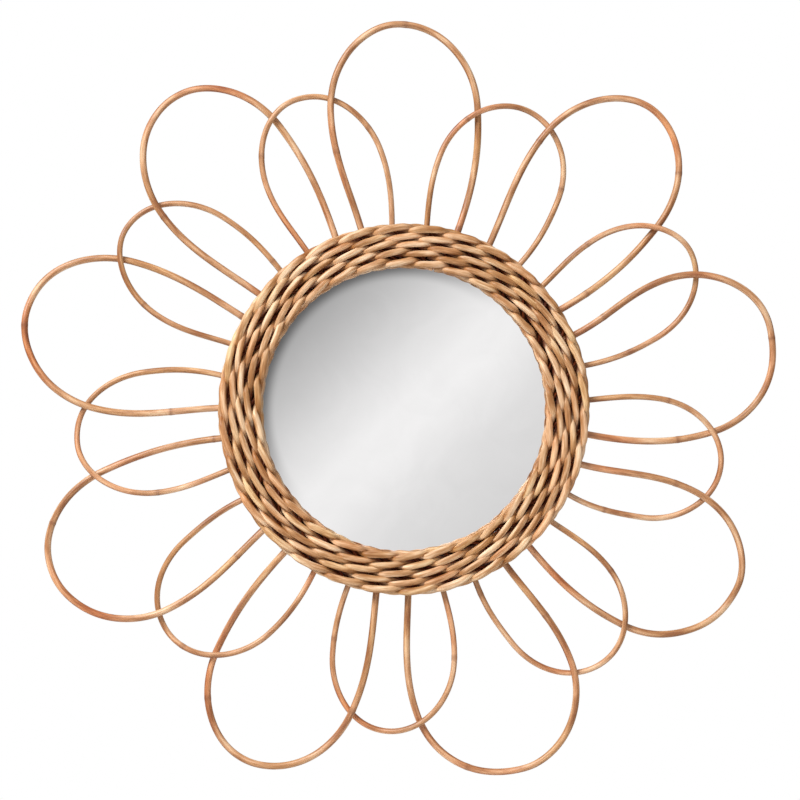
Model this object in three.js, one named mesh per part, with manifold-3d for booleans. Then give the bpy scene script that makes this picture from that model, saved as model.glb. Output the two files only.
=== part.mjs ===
// A round wall mirror in a woven ring, with eighteen loops of bent rod around it like petals.
// Millimetres, +Z up. The mirror faces -Y, and the wall is the plane Y = 0 behind the board.
// Angles are in degrees, clockwise from the top as seen from the front.
import * as THREE from 'three';
import * as BufferGeometryUtils from 'three/addons/utils/BufferGeometryUtils.js';
import Module from 'manifold-3d';

const wasm = await Module();
wasm.setup();

// Play between pieces that touch
const clearance = 0.3;

// Backing board
const boardThickness = 6;
const boardInset = 1; // its edge lies this far inside the centre line of the outer row
const boardArris = 0.6;

// Glass
const glassThickness = 3;
const glassLap = 7.5; // the width of its edge that the woven ring covers
const glassArris = 0.4;

// Woven ring: twined rows of one weaver each, which lies in front and behind by turns
const openingRadius = 104.5;
const rowCount = 5;
const halfTwists = 31; // on one lap
const strandWidth = 4; // where the strand lies in front
const strandDepth = 3;
const pinch = 0.22; // the share of its width that it loses where it is pressed past itself
const dwell = 0.4; // 0 for an even twist; nearer 0.5 the strand lies flat for longer and turns faster
const rowStagger = 0.31; // of a stitch, from one row to the next row in

// The first and the last row lean away from the ring's edges, so that both edges are smooth
const innerLean = 0.65; // how much further the inner row sways than the others
const edgeLift = 0.9; // how far a crossing is drawn in from the edge
const innerTuck = 1; // how far the strand at the back lies nearer the edge than the one in front
const outerTuck = 0.3;
const firstStitch = 4.4; // the angle of the outer row's first stitch
const weaverEndGap = 0.6;
const ribDiameter = 2;

// The stitches are spread unevenly by hand: wider apart on one side of the ring
const unevenness = 3.4;
const unevennessAngle = 20;

// Petals: rods bent to loops
const largeRod = 4.9;
const smallRod = 4.1;
const legSplay = 3; // degrees that each leg leans outwards from the ring's radius
const legInset = 19; // how far each leg reaches in under the woven ring
const sideStraightness = 0.36; // of the stretch from the ring to the widest place
const tipTurn = 9; // the half width over which a rod crosses from front to back at its tip
const legSettle = 30; // the length over which a leg comes to its own depth outside the ring
const roundness = 0.5523; // handle length that makes a cubic curve a quarter of an ellipse

const largeReach = 285; // from the mirror's centre to the tip of a large petal
const largeHalf = 56; // half the width of a large petal
const largeBelly = 0.577; // the share of its height at which it is widest
const smallReach = 240;
const smallHalf = 45;
const smallBelly = 0.497;

// Each petal as it was bent by hand: the angles of its two legs at the ring, the angle of its tip,
// and its reach and the widths of its two halves as shares of the sizes above
const largePetals = [
	{ legs: [ 346.6, 16.8 ], tip: - 1, reach: 1.003, halves: [ 0.95, 1 ] },
	{ legs: [ 27.4, 57.5 ], tip: 40.1, reach: 1.014, halves: [ 0.96, 0.97 ] },
	{ legs: [ 66.4, 97.8 ], tip: 77.4, reach: 0.978, halves: [ 1.01, 1.11 ] },
	{ legs: [ 107.3, 137.6 ], tip: 118.7, reach: 0.985, halves: [ 0.96, 1.05 ] },
	{ legs: [ 146.8, 178.7 ], tip: 161.5, reach: 0.986, halves: [ 1.06, 1.1 ] },
	{ legs: [ 188.6, 219.9 ], tip: 204.3, reach: 1.002, halves: [ 1.02, 0.95 ] },
	{ legs: [ 229.4, 261 ], tip: 245, reach: 1.011, halves: [ 1.08, 0.94 ] },
	{ legs: [ 270.4, 299.8 ], tip: 285, reach: 1.016, halves: [ 1.05, 0.96 ] },
	{ legs: [ 308.5, 338.3 ], tip: 323.1, reach: 1.009, halves: [ 1.02, 0.93 ] },
];
const smallPetals = [
	{ legs: [ 7.1, 38.6 ], tip: 22.3, reach: 1, halves: [ 1.05, 1.03 ] },
	{ legs: [ 48.3, 76.4 ], tip: 61.2, reach: 1.012, halves: [ 0.97, 0.95 ] },
	{ legs: [ 87.1, 117.4 ], tip: 100.6, reach: 0.996, halves: [ 0.99, 0.99 ] },
	{ legs: [ 127.3, 157.4 ], tip: 141.8, reach: 0.998, halves: [ 1.05, 0.97 ] },
	{ legs: [ 167.8, 197.6 ], tip: 183.1, reach: 0.997, halves: [ 1.04, 0.97 ] },
	{ legs: [ 209, 240.8 ], tip: 226.1, reach: 1.006, halves: [ 1.09, 0.98 ] },
	{ legs: [ 250.9, 280.5 ], tip: 264.1, reach: 1.017, halves: [ 0.99, 1.01 ] },
	{ legs: [ 290.7, 318.3 ], tip: 303.3, reach: 1.025, halves: [ 0.97, 0.98 ] },
	{ legs: [ 328.4, 356.3 ], tip: 340.6, reach: 1.015, halves: [ 0.96, 1.01 ] },
];

// Hanger: a toothed steel strip in a shallow pocket in the back of the board
const hangerWidth = 46;
const hangerHeight = 9;
const hangerSheet = 0.8;
const hangerFoot = 9; // the length of each end that lies flat on the pocket's floor
const hangerRise = 1.2; // how far its middle stands off the floor, for a nail's head
const hangerToothPitch = 3.5;
const hangerToothDepth = 1.5;
const hangerNailHole = 2.4;
const hangerDrop = 26; // from the board's top edge to the strip's middle
const pocketMargin = 3;
const pocketDepth = 2.8;

// Facets
const discSegments = 48;
const stepsPerHalfTwist = 3;
const rodSides = 5;
const largeRodSteps = 22;
const smallRodSteps = 18;
const ribSides = 4;

// Worked out: widths and places in the weave
// A lap has a whole, odd number of stitches, so that the weaver closes after two laps
const stitches = 2 * Math.floor( ( halfTwists - 1 ) / 2 ) + 1;
const stitchPitch = 360 / stitches;
const rowShift = rowStagger * stitchPitch;
const rowPhase = Math.PI * rowStagger;
const strandHalf = strandWidth / 2;
const crossingHalf = strandHalf * ( 1 - pinch );
const rowSway = crossingHalf + clearance / 2;
const strandFront = strandDepth * 2 / 3; // from its centre line to its ridge
const strandBack = strandDepth / 3; // from its centre line to its flat back
// Twice the play, because a rib is straight and the line of its stitches is bent
const stitchRise = strandFront + ribDiameter / 2 + 2 * clearance;
const envelopeSteps = 60;

// Worked out: layers from the wall forwards
const legDepth = boardThickness + clearance + Math.max( largeRod, smallRod ) / 2;
const ringBack = legDepth + Math.max( largeRod, smallRod ) / 2 + clearance;
const ringMiddle = ringBack + stitchRise + strandBack;

const ringRows = weaveRows();
const outerRow = ringRows[ rowCount - 1 ];
const ringRadius = outerRow.radius + furthest( turn => reach( outerRow, turn, 1 ) );
const boardRadius = outerRow.radius - boardInset;
const glassRadius = openingRadius + glassLap;
const rodTwist = ( largeRod + smallRod ) / 4 + clearance;

function degrees( angle ) {

	return angle * Math.PI / 180;

}

// A point at a distance from the mirror's centre, at an angle clockwise from the top
function polar( radius, angle, depth ) {

	return new THREE.Vector3( radius * Math.sin( angle ), - depth, radius * Math.cos( angle ) );

}

// How far a strand has gone round its pair: it dwells in front and at the back
function lay( row, turn ) {

	return turn - row.dwell * Math.sin( 2 * turn );

}

// How far a strand lies outside its row's radius
function lean( row, turn ) {

	const phase = lay( row, turn );
	const drawnIn = row.lift * Math.sin( phase ) ** 2;
	const tucked = row.tuck * ( 1 - Math.cos( phase ) ) / 2;
	return row.sway * Math.sin( phase ) + row.edge * ( tucked - drawnIn );

}

// A strand is narrower where it is pressed past itself
function widthShare( row, turn ) {

	return 1 - pinch * Math.sin( lay( row, turn ) ) ** 2;

}

// How far a row's pair of strands reaches from its radius, outwards (side 1) or inwards (side -1)
function reach( row, turn, side ) {

	const strands = [ turn, turn + Math.PI ];
	return Math.max( ...strands.map( t => side * lean( row, t ) + strandHalf * widthShare( row, t ) ) );

}

function furthest( reachAt ) {

	let most = 0;
	for ( let i = 0; i < envelopeSteps; i ++ ) {

		most = Math.max( most, reachAt( Math.PI * i / envelopeSteps ) );

	}

	return most;

}

// The form and place of each row, from the inside out
function weaveRows() {

	const innerForm = { edge: - 1, sway: rowSway + innerLean, lift: edgeLift, tuck: innerTuck, dwell: 0 };
	const middleForm = { edge: 0, sway: rowSway, lift: 0, tuck: 0, dwell };
	const outerForm = { edge: 1, sway: rowSway, lift: edgeLift, tuck: outerTuck, dwell };
	const rows = [];
	for ( let i = 0; i < rowCount; i ++ ) {

		const form = i === 0 ? innerForm : i === rowCount - 1 ? outerForm : middleForm;
		const row = { ...form, stitch: firstStitch + rowShift * ( rowCount - 1 - i ) };
		const below = rows[ i - 1 ];
		row.swing = stitchRise / Math.cos( lay( row, Math.PI / stepsPerHalfTwist / 2 ) );
		row.radius = below
			? below.radius + clearance + furthest( turn => reach( below, turn, 1 ) + reach( row, turn + rowPhase, - 1 ) )
			: openingRadius + furthest( turn => reach( row, turn, - 1 ) );
		rows.push( row );

	}

	return rows;

}

// The angle round the ring at which a row's strand has turned by a given amount
function stitchAngle( row, turn ) {

	const even = row.stitch + stitchPitch * turn / Math.PI;
	let angle = even;
	for ( let i = 0; i < 6; i ++ ) {

		angle = even + unevenness * Math.cos( degrees( angle + unevennessAngle ) );

	}

	return degrees( angle );

}

// The centre line of one row's weaver: two laps round the ring, with both ends at the back
class WeaverPath extends THREE.Curve {

	constructor( row ) {

		super();
		this.row = row;
		const endTurn = stitches * weaverEndGap / ( 2 * row.radius );
		this.start = - Math.PI + Math.PI / stepsPerHalfTwist / 2 + endTurn;
		this.span = 2 * stitches * Math.PI - 2 * endTurn;

	}

	turnAt( t ) {

		return this.start + this.span * t;

	}

	getPoint( t, target = new THREE.Vector3() ) {

		const turn = this.turnAt( t );
		const radius = this.row.radius + lean( this.row, turn );
		const depth = ringMiddle + this.row.swing * Math.cos( lay( this.row, turn ) );
		return target.copy( polar( radius, stitchAngle( this.row, turn ), depth ) );

	}

	// Steps are even in turns, so that each stitch has the same facets
	getUtoTmapping( u ) {

		return u;

	}

	// The section stays square to the ring, and is narrower where the strand passes itself
	computeFrenetFrames( segments ) {

		const frames = { tangents: [], normals: [], binormals: [] };
		for ( let i = 0; i <= segments; i ++ ) {

			const turn = this.turnAt( i / segments );
			const angle = stitchAngle( this.row, turn );
			const width = widthShare( this.row, turn );
			frames.tangents.push( polar( 1, angle + Math.PI / 2, 0 ) );
			frames.normals.push( polar( width, angle, 0 ) );
			frames.binormals.push( new THREE.Vector3( 0, - 1, 0 ) );

		}

		return frames;

	}

}

// The centre line of one petal's rod. In the plane of the wall it is a leg, four curves that
// meet at the widest places and at the tip, and a leg. Its left side lies in front, its right side
// behind, so that neighbours pass each other where they cross.
class PetalPath extends THREE.Curve {

	constructor( petal, size ) {

		super();
		const [ leftHalf, rightHalf ] = petal.halves.map( share => share * size.half );
		const [ leftLeg, rightLeg ] = petal.legs.map( degrees );
		const left = polar( ringRadius, leftLeg, 0 );
		const right = polar( ringRadius, rightLeg, 0 );
		const tip = polar( petal.reach * size.reach, degrees( petal.tip ), 0 );
		this.base = left.clone().add( right ).multiplyScalar( 0.5 );
		const height = tip.clone().sub( this.base );
		const up = height.clone().normalize();
		this.across = new THREE.Vector3( up.z, 0, - up.x );

		const middle = this.base.clone().addScaledVector( height, size.belly );
		const leftSide = middle.clone().addScaledVector( this.across, - leftHalf );
		const rightSide = middle.clone().addScaledVector( this.across, rightHalf );
		const leftOut = polar( 1, leftLeg - degrees( legSplay ), 0 );
		const rightOut = polar( 1, rightLeg + degrees( legSplay ), 0 );
		const bellyToTip = height.length() * ( 1 - size.belly ) * roundness;

		const leftRise = left.distanceTo( leftSide ) * sideStraightness;
		const rightRise = right.distanceTo( rightSide ) * sideStraightness;
		this.plan = new THREE.CurvePath();
		this.plan.add( new THREE.LineCurve3( left.clone().addScaledVector( leftOut, - legInset ), left ) );
		this.plan.add( new THREE.CubicBezierCurve3(
			left, left.clone().addScaledVector( leftOut, leftRise ),
			leftSide.clone().addScaledVector( up, - leftRise ), leftSide ) );
		this.plan.add( new THREE.CubicBezierCurve3(
			leftSide, leftSide.clone().addScaledVector( up, bellyToTip ),
			tip.clone().addScaledVector( this.across, - leftHalf * roundness ), tip ) );
		this.plan.add( new THREE.CubicBezierCurve3(
			tip, tip.clone().addScaledVector( this.across, rightHalf * roundness ),
			rightSide.clone().addScaledVector( up, bellyToTip ), rightSide ) );
		this.plan.add( new THREE.CubicBezierCurve3(
			rightSide, rightSide.clone().addScaledVector( up, - rightRise ),
			right.clone().addScaledVector( rightOut, rightRise ), right ) );
		this.plan.add( new THREE.LineCurve3( right, right.clone().addScaledVector( rightOut, - legInset ) ) );

	}

	getPoint( t, target = new THREE.Vector3() ) {

		target.copy( this.plan.getPoint( t ) );
		const sideways = target.clone().sub( this.base ).dot( this.across );
		const outside = THREE.MathUtils.smoothstep( target.length(), ringRadius, ringRadius + legSettle );
		target.y = - legDepth + rodTwist * Math.tanh( sideways / tipTurn ) * outside;
		return target;

	}

}

// A regular section with its corners on a circle
function roundSection( radius, sides ) {

	const corners = [];
	for ( let i = 0; i < sides; i ++ ) {

		const angle = 2 * Math.PI * i / sides;
		corners.push( new THREE.Vector2( radius * Math.cos( angle ), radius * Math.sin( angle ) ) );

	}

	return new THREE.Shape( corners );

}

// A section with its ridge to the front and two corners at the flat back
function strandSection() {

	return new THREE.Shape( [
		new THREE.Vector2( - strandHalf, - strandBack ),
		new THREE.Vector2( strandHalf, - strandBack ),
		new THREE.Vector2( 0, strandFront ),
	] );

}

function weaver( row ) {

	return new THREE.ExtrudeGeometry( strandSection(), {
		steps: 2 * stitches * stepsPerHalfTwist,
		extrudePath: new WeaverPath( row ),
	} );

}

function petalRod( petal, size ) {

	return new THREE.ExtrudeGeometry( roundSection( size.rod / 2, rodSides ), {
		steps: size.steps,
		extrudePath: new PetalPath( petal, size ),
	} );

}

// One rib lies in the middle of the weave, under the same stitch of every row
function rib( index ) {

	const turn = Math.PI * index;
	const inner = polar( ringRows[ 0 ].radius, stitchAngle( ringRows[ 0 ], turn ), ringMiddle );
	const outer = polar( outerRow.radius, stitchAngle( outerRow, turn ), ringMiddle );
	const length = inner.distanceTo( outer );
	const geometry = new THREE.CylinderGeometry( ribDiameter / 2, ribDiameter / 2, length, ribSides );
	const direction = outer.clone().sub( inner ).normalize();
	const turned = new THREE.Quaternion().setFromUnitVectors( new THREE.Vector3( 0, 1, 0 ), direction );
	geometry.applyQuaternion( turned );
	const centre = inner.clone().add( outer ).multiplyScalar( 0.5 );
	return geometry.translate( centre.x, centre.y, centre.z );

}

// A round plate about the Y axis, between two depths, with its edges taken off
function disc( radius, back, front, arris ) {

	const profile = [
		new THREE.Vector2( 0, - front ),
		new THREE.Vector2( radius - arris, - front ),
		new THREE.Vector2( radius, - front + arris ),
		new THREE.Vector2( radius, - back - arris ),
		new THREE.Vector2( radius - arris, - back ),
		new THREE.Vector2( 0, - back ),
	];
	return new THREE.LatheGeometry( profile, discSegments );

}

function solid( geometry ) {

	geometry.deleteAttribute( 'normal' );
	geometry.deleteAttribute( 'uv' );
	const merged = BufferGeometryUtils.mergeVertices( geometry, 1e-3 );
	return new wasm.Manifold( new wasm.Mesh( {
		numProp: 3,
		vertProperties: new Float32Array( merged.getAttribute( 'position' ).array ),
		triVerts: new Uint32Array( merged.getIndex().array ),
	} ) );

}

function geometryOf( body ) {

	const mesh = body.getMesh();
	const geometry = new THREE.BufferGeometry();
	geometry.setAttribute( 'position', new THREE.BufferAttribute( mesh.vertProperties, 3 ) );
	geometry.setIndex( new THREE.BufferAttribute( mesh.triVerts, 1 ) );
	return geometry;

}

// A plate whose outline is drawn as seen from the front, between two depths
function plate( outline, back, front ) {

	const geometry = new THREE.ExtrudeGeometry( outline, { depth: front - back, bevelEnabled: false } );
	return geometry.rotateX( Math.PI / 2 ).translate( 0, - back, 0 );

}

const hangerHeightOnBoard = boardRadius - hangerDrop;

function backingBoard() {

	const halfWidth = hangerWidth / 2 + pocketMargin;
	const halfHeight = hangerHeight / 2 + pocketMargin;
	const pocket = new THREE.Shape( [
		new THREE.Vector2( - halfWidth, hangerHeightOnBoard - halfHeight ),
		new THREE.Vector2( halfWidth, hangerHeightOnBoard - halfHeight ),
		new THREE.Vector2( halfWidth, hangerHeightOnBoard + halfHeight ),
		new THREE.Vector2( - halfWidth, hangerHeightOnBoard + halfHeight ),
	] );
	const board = solid( disc( boardRadius, 0, boardThickness, boardArris ) );
	return geometryOf( board.subtract( solid( plate( pocket, - 1, pocketDepth ) ) ) );

}

// The strip's outline, toothed along its lower edge, with a nail hole in each foot
function hangerOutline() {

	const halfWidth = hangerWidth / 2;
	const top = hangerHeightOnBoard + hangerHeight / 2;
	const bottom = hangerHeightOnBoard - hangerHeight / 2;
	const teeth = Math.floor( ( hangerWidth - 2 * hangerFoot ) / hangerToothPitch );
	const firstTooth = - teeth * hangerToothPitch / 2;
	const points = [ new THREE.Vector2( - halfWidth, top ), new THREE.Vector2( - halfWidth, bottom ) ];
	for ( let i = 0; i < teeth; i ++ ) {

		const x = firstTooth + i * hangerToothPitch;
		points.push( new THREE.Vector2( x, bottom ) );
		points.push( new THREE.Vector2( x + hangerToothPitch / 2, bottom + hangerToothDepth ) );

	}

	points.push( new THREE.Vector2( - firstTooth, bottom ) );
	points.push( new THREE.Vector2( halfWidth, bottom ), new THREE.Vector2( halfWidth, top ) );
	const outline = new THREE.Shape( points );
	for ( const side of [ - 1, 1 ] ) {

		const nailHole = new THREE.Path();
		const x = side * ( halfWidth - hangerFoot / 2 );
		nailHole.absarc( x, hangerHeightOnBoard, hangerNailHole / 2, 0, 2 * Math.PI );
		outline.holes.push( nailHole );

	}

	return outline;

}

// The strip seen from above: two feet on the pocket's floor and a raised middle
function hangerProfile() {

	const halfWidth = hangerWidth / 2;
	const bend = halfWidth - hangerFoot;
	const floor = - pocketDepth + clearance;
	const low = floor + hangerSheet;
	return new THREE.Shape( [
		new THREE.Vector2( - halfWidth, floor ),
		new THREE.Vector2( - bend, floor ),
		new THREE.Vector2( - bend + hangerRise, floor + hangerRise ),
		new THREE.Vector2( bend - hangerRise, floor + hangerRise ),
		new THREE.Vector2( bend, floor ),
		new THREE.Vector2( halfWidth, floor ),
		new THREE.Vector2( halfWidth, low ),
		new THREE.Vector2( bend, low ),
		new THREE.Vector2( bend - hangerRise, low + hangerRise ),
		new THREE.Vector2( - bend + hangerRise, low + hangerRise ),
		new THREE.Vector2( - bend, low ),
		new THREE.Vector2( - halfWidth, low ),
	] );

}

function hangerStrip() {

	const bent = new THREE.ExtrudeGeometry( hangerProfile(), {
		depth: hangerHeight + 2, bevelEnabled: false,
	} ).translate( 0, 0, hangerHeightOnBoard - hangerHeight / 2 - 1 );
	const cut = plate( hangerOutline(), - 1, boardThickness );
	return geometryOf( solid( bent ).intersect( solid( cut ) ) );

}

const rattan = { roughness: 0.55, metalness: 0 };
const finishes = {
	largeRod: new THREE.MeshStandardMaterial( { color: '#c98a52', ...rattan } ),
	smallRod: new THREE.MeshStandardMaterial( { color: '#d09560', ...rattan } ),
	weaver: new THREE.MeshStandardMaterial( { color: '#c99a66', ...rattan } ),
	rib: new THREE.MeshStandardMaterial( { color: '#8a5a34', ...rattan } ),
	board: new THREE.MeshStandardMaterial( { color: '#3a2a20', roughness: 0.8, metalness: 0 } ),
	glass: new THREE.MeshStandardMaterial( { color: '#e4e6e6', roughness: 0.03, metalness: 1 } ),
	steel: new THREE.MeshStandardMaterial( { color: '#a9a9a6', roughness: 0.35, metalness: 1 } ),
};

const mirror = new THREE.Group();

function add( name, geometry, finish ) {

	const mesh = new THREE.Mesh( geometry, finish );
	mesh.name = name;
	mirror.add( mesh );

}

add( 'backing_board', backingBoard(), finishes.board );
add( 'hanger', hangerStrip(), finishes.steel );
add( 'mirror_glass',
	disc( glassRadius, boardThickness + clearance, boardThickness + clearance + glassThickness, glassArris ),
	finishes.glass );

ringRows.forEach( ( row, i ) => add( `weave_row_${ i + 1 }`, weaver( row ), finishes.weaver ) );
for ( let i = 0; i < stitches; i ++ ) {

	add( `rib_${ String( i + 1 ).padStart( 2, '0' ) }`, rib( i ), finishes.rib );

}

const largeSize = {
	reach: largeReach, half: largeHalf, belly: largeBelly, rod: largeRod, steps: largeRodSteps,
};
const smallSize = {
	reach: smallReach, half: smallHalf, belly: smallBelly, rod: smallRod, steps: smallRodSteps,
};
largePetals.forEach( ( petal, i ) => {

	add( `petal_large_${ i + 1 }`, petalRod( petal, largeSize ), finishes.largeRod );

} );
smallPetals.forEach( ( petal, i ) => {

	add( `petal_small_${ i + 1 }`, petalRod( petal, smallSize ), finishes.smallRod );

} );

export default mirror;
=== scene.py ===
# %% [markdown]
# # A wall mirror with a woven ring and petals of bent rod
#
# The real mirror is made by hand from rattan, a climbing palm whose stem splits into long even
# rods. Eighteen rods are steamed and bent to loops, their legs are laid on a round board, and
# five rows of thinner strands are twined over short ribs to make a ring that hides the legs and
# holds the edge of a round glass.
#
# The imported CAD model gives the main sizes here. This script loads it as a fixed frame, and
# builds each visible piece again with smooth sections and the small accidents of natural rod.
# Lengths are in metres. The mirror faces -Y, the wall is the plane Y = 0, and +Z is up.

# %% Load the frame and keep its box
import math
import random
from collections import namedtuple

import bmesh
import bpy
from mathutils import Matrix, Vector, noise
from mathutils.geometry import interpolate_bezier


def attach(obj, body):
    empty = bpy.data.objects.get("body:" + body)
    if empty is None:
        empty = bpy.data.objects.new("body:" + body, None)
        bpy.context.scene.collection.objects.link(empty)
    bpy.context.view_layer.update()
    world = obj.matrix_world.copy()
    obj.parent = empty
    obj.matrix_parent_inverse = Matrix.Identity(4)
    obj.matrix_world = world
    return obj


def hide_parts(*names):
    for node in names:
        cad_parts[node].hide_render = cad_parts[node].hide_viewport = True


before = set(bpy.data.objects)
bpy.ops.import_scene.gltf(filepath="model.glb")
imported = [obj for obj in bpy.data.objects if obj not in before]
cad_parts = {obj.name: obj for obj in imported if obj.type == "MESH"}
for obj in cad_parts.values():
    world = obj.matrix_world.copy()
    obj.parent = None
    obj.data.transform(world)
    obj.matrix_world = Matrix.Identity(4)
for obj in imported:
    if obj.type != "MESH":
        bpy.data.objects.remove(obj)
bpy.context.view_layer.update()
scene = bpy.context.scene
print("CAD nodes:", len(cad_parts))

# %% [markdown]
# ## Sizes
#
# These are the sizes of the CAD model, so that each new piece lies where its node does. They are
# written in millimetres, as a maker would say them, and one function turns them to metres.
# Angles run clockwise from the top, as on a clock.

# %% Sizes shared by the pieces


def mm(*lengths):
    """Millimetres to metres: one length, or a tuple of several."""
    metres = tuple(length / 1000 for length in lengths)
    return metres if len(metres) > 1 else metres[0]


CLEARANCE = mm(0.3)
BOARD_THICKNESS = mm(6)
BOARD_RADIUS = mm(134.055)
GLASS_RADIUS = mm(112)
GLASS_THICKNESS = mm(3)
GLASS_BACK = BOARD_THICKNESS + CLEARANCE
GLASS_FRONT = GLASS_BACK + GLASS_THICKNESS
OPENING_RADIUS = mm(104.5)
RING_RADIUS = mm(137.869)
RING_MIDDLE = mm(16.1)  # how far the middle of the weave stands off the wall
LEG_DEPTH = mm(8.75)  # how far the petals' legs stand off the wall

FRONT = Vector((0, -1, 0))


def polar(radius, angle, depth=0.0):
    """The point at a radius and an angle clockwise from the top, at a depth off the wall."""
    return Vector((radius * math.sin(angle), -depth, radius * math.cos(angle)))


print("Ring radius:", RING_RADIUS, "opening:", OPENING_RADIUS)

# %% [markdown]
# ## Camera
#
# The photograph looks straight at the mirror from the front. A 100 mm lens from about 1.65 m
# keeps the ring from bulging. The point in the middle of the picture lies a little left of the
# glass's centre and a little above it.

# %% Camera straight in front
VIEW_CENTRE = Vector((mm(-2.97), -LEG_DEPTH, mm(6.9)))  # in the plane of the petals
VIEW_WIDTH = mm(594.2)
SENSOR = 36  # mm, as lenses are sold
LENS = 100

camera_data = bpy.data.cameras.new("front camera")
camera_data.sensor_width = SENSOR
camera_data.lens = LENS
camera = bpy.data.objects.new("front camera", camera_data)
camera_distance = VIEW_WIDTH * LENS / SENSOR
camera.location = VIEW_CENTRE + FRONT * camera_distance
camera.rotation_euler = (math.radians(90), 0, 0)
scene.collection.objects.link(camera)
scene.camera = camera
print("Camera distance:", round(camera_distance, 4))

# %% [markdown]
# ## Colours and nodes
#
# Colours are written as the hex values of a paint chart, which are sRGB. Blender's shaders
# work with linear light, so one function converts them. One small function adds a node, sets
# it and links it, so that each material reads as a short recipe.

# %% Colour and node helpers


def srgb(hex_colour):
    """A linear colour with alpha from an sRGB hex value."""
    channels = [int(hex_colour[i:i + 2], 16) / 255 for i in (1, 3, 5)]
    linear = [c / 12.92 if c <= 0.04045 else ((c + 0.055) / 1.055) ** 2.4 for c in channels]
    return (*linear, 1.0)


def add_node(tree, kind, inputs=None, stops=None, **settings):
    """A node with its settings, its inputs as values or links, and its ramp's stops.

    A ramp's two outermost stops come first, because every ramp starts with those two.
    """
    node = tree.nodes.new(kind)
    for name, value in settings.items():
        setattr(node, name, value)
    for socket, value in (inputs or {}).items():
        if isinstance(value, bpy.types.NodeSocket):
            tree.links.new(value, node.inputs[socket])
        else:
            node.inputs[socket].default_value = value
    for i, (position, hex_colour) in enumerate(stops or ()):
        elements = node.color_ramp.elements
        element = elements[i] if i < 2 else elements.new(position)
        element.position = position
        element.color = srgb(hex_colour)
    return node


def new_material(name):
    """A material with an empty Principled shader, with its tree and its shader."""
    material = bpy.data.materials.new(name)
    material.use_nodes = True
    return material, material.node_tree, material.node_tree.nodes["Principled BSDF"]


print("White:", srgb("#ffffff"))

# %% [markdown]
# ## Studio
#
# The photograph has a pure white ground and soft light from the upper left. The sky here is
# white where the camera sees it, and a dim dome with a brighter top for everything else, so
# that the rods keep a shaded side.

# %% Sky
DOME_LOW = 0.15
DOME_HIGH = 0.52

scene.view_settings.view_transform = "Standard"

world = bpy.data.worlds.new("white studio")
scene.world = world
world.use_nodes = True
sky = world.node_tree
sky.nodes.clear()
sky_place = add_node(sky, "ShaderNodeTexCoord")
sky_axes = add_node(sky, "ShaderNodeSeparateXYZ", {0: sky_place.outputs["Generated"]})
dome = add_node(sky, "ShaderNodeMapRange", {
    "Value": sky_axes.outputs["Z"], "From Min": -1.0, "From Max": 1.0,
    "To Min": DOME_LOW, "To Max": DOME_HIGH,
})
ray = add_node(sky, "ShaderNodeLightPath")
brightness = add_node(sky, "ShaderNodeMapRange", {
    "Value": ray.outputs["Is Camera Ray"], "To Min": dome.outputs["Result"], "To Max": 1.0,
})
white = add_node(sky, "ShaderNodeBackground", {
    "Color": srgb("#ffffff"), "Strength": brightness.outputs["Result"],
})
add_node(sky, "ShaderNodeOutputWorld", {"Surface": white.outputs["Background"]})
print("Dome from", DOME_LOW, "to", DOME_HIGH)

# %% [markdown]
# One large soft lamp stands at the upper left. A weaker one by the camera lightens the dives of
# the weave, and it is kept out of reflections, because the glass would show it as a disc.

# %% Two soft lamps
KEY_PLACE = (-1.7, -1.9, 2.1)
KEY_SIZE = 1.6
KEY_POWER = 114
FILL_PLACE = (0.1, -2.3, 0.3)
FILL_SIZE = 1.2
FILL_POWER = 5


def soft_lamp(name, place, size, power):
    """A round area lamp that faces the mirror."""
    data = bpy.data.lights.new(name, "AREA")
    data.shape = "DISK"
    data.size = size
    data.energy = power
    lamp = bpy.data.objects.new(name, data)
    lamp.location = place
    lamp.rotation_euler = (-lamp.location).to_track_quat("-Z", "Y").to_euler()
    scene.collection.objects.link(lamp)
    return lamp


soft_lamp("soft lamp", KEY_PLACE, KEY_SIZE, KEY_POWER)
fill = soft_lamp("lamp by the camera", FILL_PLACE, FILL_SIZE, FILL_POWER)
fill.visible_glossy = False
print("Lamps:", KEY_POWER, "and", FILL_POWER, "W")

# %% [markdown]
# The pale floor lies far below the mirror, as under a wall, where the front view doesn't reach.
# It fades out towards its edge, so that no horizon shows from other sides.

# %% Pale floor
FLOOR_HEIGHT = -0.95
FLOOR_RADIUS = 2.9
FADE_START = 0.9
MOTTLE_SIZE = mm(40)

floor_paint, tree, shader = new_material("matt white floor paint")
place = add_node(tree, "ShaderNodeTexCoord")
mottle = add_node(tree, "ShaderNodeTexNoise", {
    "Vector": place.outputs["Object"], "Scale": 1 / MOTTLE_SIZE, "Detail": 3.0,
})
tint = add_node(tree, "ShaderNodeValToRGB", {"Fac": mottle.outputs["Fac"]},
                stops=((0.3, "#f0efed"), (0.7, "#f3f2f0")))
tree.links.new(tint.outputs["Color"], shader.inputs["Base Color"])
shader.inputs["Roughness"].default_value = 0.8
across_floor = add_node(tree, "ShaderNodeVectorMath", {
    0: place.outputs["Object"], 1: (1, 1, 0),
}, operation="MULTIPLY")
from_middle = add_node(tree, "ShaderNodeVectorMath", {0: across_floor.outputs["Vector"]},
                       operation="LENGTH")
fade = add_node(tree, "ShaderNodeMapRange", {
    "Value": from_middle.outputs["Value"], "From Min": FADE_START, "From Max": FLOOR_RADIUS,
    "To Min": 1.0, "To Max": 0.0,
}, interpolation_type="SMOOTHSTEP")
tree.links.new(fade.outputs["Result"], shader.inputs["Alpha"])

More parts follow.
